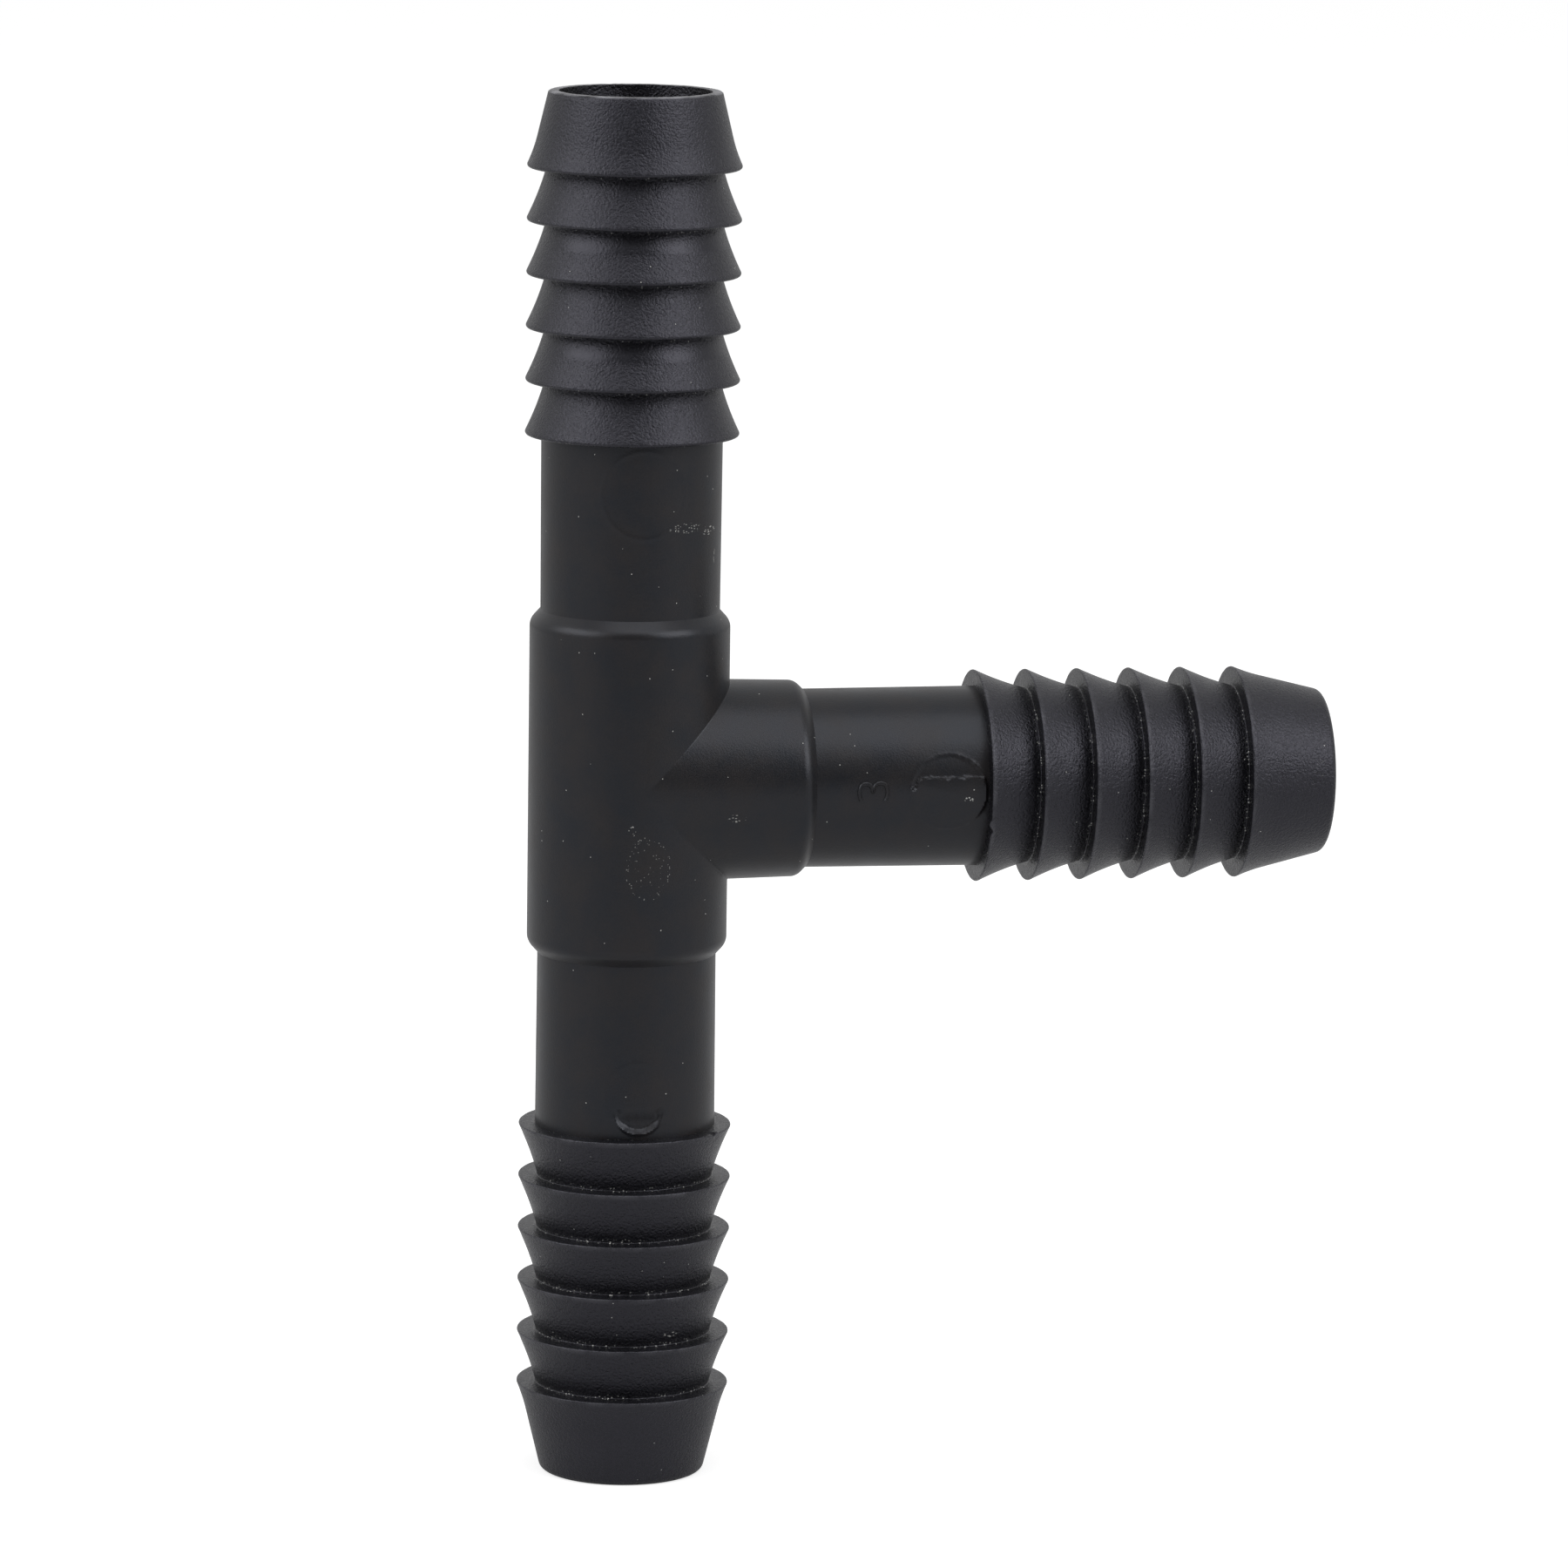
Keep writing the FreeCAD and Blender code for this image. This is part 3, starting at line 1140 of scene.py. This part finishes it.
@dataclass
class BarbedEnd:
    """One hose tail: five saw-tooth barbs and the tapered nose that finds the hose.

    Falls are slopes in degrees at the start of a flank, and slope is the nose's past its knee.
    """

    way: Way
    start: float
    nose_length: float = 9.65
    slope: float = 0.256
    trimmed: bool = False
    tip: float = 0.14
    # Share of crest lightening: rubbing and a painted highlight along the crest edge.
    rub_and_highlight: float = 0.16
    nicks: tuple[Nick, ...] = ()
    witness: tuple[float, ...] = ()
    ledge: float = 2.2
    ledge_height: float = 0.06
    ledge_satin: float = 0.6
    pitch: float = 5.62
    barbs: int = 5
    barb_fall: float = 20.0
    nose_fall: float = 18.0
    crest: float = 11.27
    trough: float = 9.3
    root: float = 0.12
    root_steps: int = 4
    dish: float = 0.14
    nose_dish: float = 0.08
    flank_steps: int = 12
    knee: tuple[float, float] = (3.3, 10.24)
    lip: float = 0.85
    cut_lip: float = 0.32
    steps: int = 320

    @property
    def nose_face(self) -> float:
        """Where the rear face of the nose is."""
        return self.start + self.barbs * self.pitch

    @property
    def end(self) -> float:
        """Where the end face is."""
        return self.nose_face + self.nose_length

    def build(self, material: bpy.types.Material) -> bpy.types.Object:
        """Builds and dresses the barbed end.

        Args:
            material: the plastic's textured skin.

        Returns:
            The piece.
        """
        outline: Outline = [(self.start, BORE_RADIUS)]
        for index in range(self.barbs):
            outline += self._barb(self.start + index * self.pitch, first=index == 0)
        outline += self._nose()
        shell = turned_shell(outline, self.steps, closed=True)
        self._tag(shell)
        bmesh.ops.transform(shell, matrix=self.way.turn, verts=shell.verts)
        move_points(shell, self._wear)
        name = f"{self.way.word}_barbed_end"
        return finish_piece(shell, name, material, ("barbs", "noses"))

    def _crest(self, reach: float, fall: float) -> Outline:
        """Draws a crest: the root it rises from, its square rear face and its rounded tip.

        Args:
            reach: where the rear face is.
            fall: the slope in degrees of the flank after it.

        Returns:
            The points up to the start of the flank.
        """
        foot_radius = self.trough + self.root
        foot = arc(reach - self.root, foot_radius, self.root, -90.0, 0.0, self.root_steps)
        wall = spread(foot[-1], (reach, self.crest - self.tip), 4)[:-1]
        top = arc(reach + self.tip, self.crest - self.tip, self.tip, 180.0, 90.0 - fall, 7)
        return [*foot, *wall, *top]

    def _barb(self, reach: float, first: bool) -> Outline:
        """Draws one barb from its rear face to the trough after it.

        Args:
            reach: where the rear face is.
            first: whether it is the barb beside the neck, which has no root before it.

        Returns:
            The points of the barb.
        """
        crest = self._crest(reach, self.barb_fall)
        if first:
            crest = [(reach, self.trough), *crest[self.root_steps + 1 :]]
        valley = (reach + self.pitch - self.root, self.trough)
        flank = spread(crest[-1], valley, self.flank_steps, self.dish)
        return [*crest, *flank[:-1]]

    def _nose(self) -> Outline:
        """Draws the nose from its crest to the bore's mouth and returns its points.

        A cut end has a sharp rim and a flared bore, a full one a round lip and a broken edge.
        """
        crest = self._crest(self.nose_face, self.nose_fall)
        knee = (self.nose_face + self.knee[0], self.knee[1])
        upper = spread(crest[-1], knee, 8, self.nose_dish)
        radius = self.knee[1] - self.slope * (self.nose_length - self.knee[0])
        if self.trimmed:
            inset = radius - self.cut_lip + 0.06
            edge = arc(self.end - self.cut_lip, inset, self.cut_lip, 72.0, 0.0, 6)
            flare = ((0.0, 0.40), (0.05, 0.33), (2.6, 0.25), (3.6, 0.0))
        else:
            lean = math.degrees(math.atan(self.slope))
            inset = radius + self.slope * self.lip - self.lip * 0.97
            edge = arc(self.end - self.lip, inset, self.lip, 90.0 - lean, 0.0, 8)
            flare = ((0.0, 0.12), (0.12, 0.0))
        cone = spread(knee, edge[0], self.flank_steps)[:-1]
        mouth = [(self.end - depth, BORE_RADIUS + wide) for depth, wide in flare]
        return [*crest, *upper, *cone, *edge, *mouth]

    def _wear(self, point: Vector) -> Vector:
        """The movement of a point for nicks, uneven crests, cut end, ledges and parting line.

        Args:
            point: a place on the barbed end in millimetres.

        Returns:
            The movement.
        """
        axis = self.way.axis
        reach = self.way.along(point)
        out = point - axis * reach
        radius = out.length
        normal = out.normalized()
        push = sum(nick.push(point, axis, normal) for nick in self.nicks)
        if push:
            return axis * push
        if radius > self.crest - 0.12:
            rough = noise.noise(point * 1.1) * 0.018 + noise.noise(point * 4.0) * 0.008
            return axis * rough - normal * abs(rough) * 0.8
        if self.trimmed and reach > self.end - 0.2:
            rough = noise.noise(point * 0.45) * 0.04 + noise.noise(point * 2.1) * 0.04
            tilt = 0.05 * (1.0 + point.y / self.trough)
            return -axis * (abs(rough) + tilt)
        over = self._over_witness(point, reach) if radius > self.trough else 0.0
        if over:
            return normal * over * self.ledge_height
        if abs(point.y) < PARTING and 9.4 < radius < self.crest - 0.3:
            return normal * 0.03
        return Vector((0.0, 0.0, 0.0))

    def _over_witness(self, point: Vector, reach: float) -> float:
        """How much a point is on the front's ledge over a witness line.

        Args:
            point: a place on the barbed end in millimetres.
            reach: how far out along the way it is.

        Returns:
            1 at the line itself, down to 0 where the ledge has run out.
        """
        front = clamped((-3.0 - point.y) / 3.0)
        past = [reach - line for line in self.witness]
        shares = [1.0 - far / self.ledge for far in past if 0.0 <= far < self.ledge]
        return front * max(shares, default=0.0)

    def _tag(self, shell: bmesh.types.BMesh) -> None:
        """Marks the grooves, the crests, the satin ledges, the cut end and the bore for the finish:
        painted shade in the bore and at the groove roots, rubbing with a painted highlight on the
        crests, and a painted highlight on the cut end.

        Args:
            shell: the turned shell, still along z.
        """
        layers = shell.verts.layers.float
        groove, crest = layers.new("groove"), layers.new("crest")
        painted_shade, satin = layers.new("painted_shade"), layers.new("satin")
        for dot in shell.verts:
            radius = math.hypot(dot.co.x, dot.co.y)
            # Painted shade: the bore is darkened in colour.
            if radius < BORE_RADIUS + 0.38 and dot.co.z < self.end - 0.04:
                dot[painted_shade] = 1.0
                continue
            before = (self.start - dot.co.z) % self.pitch
            if radius < self.trough + 0.35:
                dot[groove] = max(0.0, 1.0 - min(before, self.pitch - before) / 0.30)
            # Painted shade: the flank's foot darkens towards the groove root.
            if dot.co.z < self.nose_face + 0.1:
                dot[painted_shade] = max(0.0, 1.0 - (radius - self.trough) / 0.75)
            dot[satin] = self.ledge_satin * self._over_witness(dot.co, dot.co.z) ** 0.5
            # Crests lighten for rubbing and as a painted highlight along their edge.
            dot[crest] = self.rub_and_highlight * clamped((radius - self.crest + 0.07) / 0.06)
            # Painted highlight: the cut end's rim and face are lightened fully.
            if self.trimmed and dot.co.z > self.end - 0.12:
                dot[crest] = 1.0


@dataclass
class CavityNumeral:
    """The raised cavity number on the branch neck, a plain 3 bent round the tube.

    Its path is drawn 2 wide and 3 tall, and swell makes the stroke a little taller than wide.
    """

    height: float = 3.0
    width: float = 1.9
    stroke: float = 0.22
    swell: float = 1.25
    centre: float = 24.65
    radius: float = 9.46
    path: tuple[tuple[float, float], ...] = (
        (-0.95, 1.30), (-0.55, 1.50), (0.30, 1.50), (0.92, 1.20), (0.92, 0.45), (0.35, 0.08),
        (-0.20, 0.06), (0.45, 0.04), (0.98, -0.35), (0.98, -1.15), (0.35, -1.50), (-0.55, -1.50),
        (-1.00, -1.25),
    )

    def build(self, material: bpy.types.Material) -> bpy.types.Object:
        """Builds and dresses the numeral.

        Args:
            material: the plastic's smooth skin.

        Returns:
            The piece.
        """
        line = bpy.data.curves.new("numeral_line", "CURVE")
        line.dimensions = "3D"
        line.bevel_depth = self.stroke
        line.bevel_resolution = 3
        line.use_fill_caps = True
        line.resolution_u = 10
        spline = line.splines.new("NURBS")
        spline.points.add(len(self.path) - 1)
        for dot, (across, up) in zip(spline.points, self.path):
            dot.co = (across * self.width / 2, up * self.height / 3, 0.0, 1.0)
        spline.order_u = 3
        spline.use_endpoint_u = True
        holder = put_in_scene("numeral_line", line)
        mesh = bpy.data.meshes.new_from_object(holder)
        bpy.data.objects.remove(holder)
        shell = bmesh.new()
        shell.from_mesh(mesh)
        bpy.data.meshes.remove(mesh)
        move_points(shell, self._bend)
        close_up(shell)
        return finish_piece(shell, "cavity_numeral", material)

    def _bend(self, point: Vector) -> Vector:
        """The movement from the flat drawing to the branch neck, top towards the hub.

        Args:
            point: a place on the flat numeral in millimetres.

        Returns:
            The movement.
        """
        turn = point.x / self.radius
        radius = self.radius + point.z * self.swell
        reach = self.centre - point.y
        return Vector((reach, -radius * math.cos(turn), radius * math.sin(turn))) - point


@dataclass
class BarbedTee:
    """The whole fitting: one hub, three necks and three barbed ends in one moulding."""

    hub: Hub = field(default_factory=Hub)
    arms: tuple[tuple[Neck, BarbedEnd], ...] = (
        (
            Neck(Way.UPPER, 18.35, 36.85, (MouldMark(MarkKind.RING, (0.0, 31.6), 4.6, 0.055),)),
            BarbedEnd(
                Way.UPPER,
                36.85,
                nose_length=8.1,
                slope=0.236,
                trimmed=True,
                tip=0.28,
                rub_and_highlight=0.02,
                witness=(56.86, 45.62),
            ),
        ),
        (
            Neck(
                Way.LOWER,
                18.35,
                36.85,
                (
                    MouldMark(MarkKind.HALF_MOON, (0.05, -33.45), 2.72, 0.42),
                    MouldMark(MarkKind.RING, (0.05, -32.4), 3.7, 0.030),
                ),
            ),
            BarbedEnd(Way.LOWER, 36.85, nicks=(Nick((8.6, -7.2, -36.85), 0.8, 0.16),)),
        ),
        (
            Neck(Way.BRANCH, 18.65, 37.1, (MouldMark(MarkKind.STEPPED, (32.75, -0.2), 4.05, 0.30),)),
            BarbedEnd(Way.BRANCH, 37.1, nicks=(Nick((37.1, -10.5, -3.9)),)),
        ),
    )
    numeral: CavityNumeral = field(default_factory=CavityNumeral)

    def build(self) -> list[bpy.types.Object]:
        """Builds and dresses every piece in order and returns them."""
        smooth = POLISHED_STEEL.build()
        textured = SPARK_ERODED.build()
        pieces = [self.hub.build(smooth)]
        for neck, end in self.arms:
            pieces += [neck.build(smooth), end.build(textured)]
        return [*pieces, self.numeral.build(smooth)]


def main() -> None:
    """Builds the scene."""
    logging.basicConfig(level=logging.INFO, format="%(name)s: %(message)s")
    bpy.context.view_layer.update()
    bpy.context.scene.view_settings.view_transform = "Standard"
    Camera().build()
    Studio().build()
    BarbedTee().build()
    bpy.context.view_layer.update()


if __name__ == "__main__":
    main()
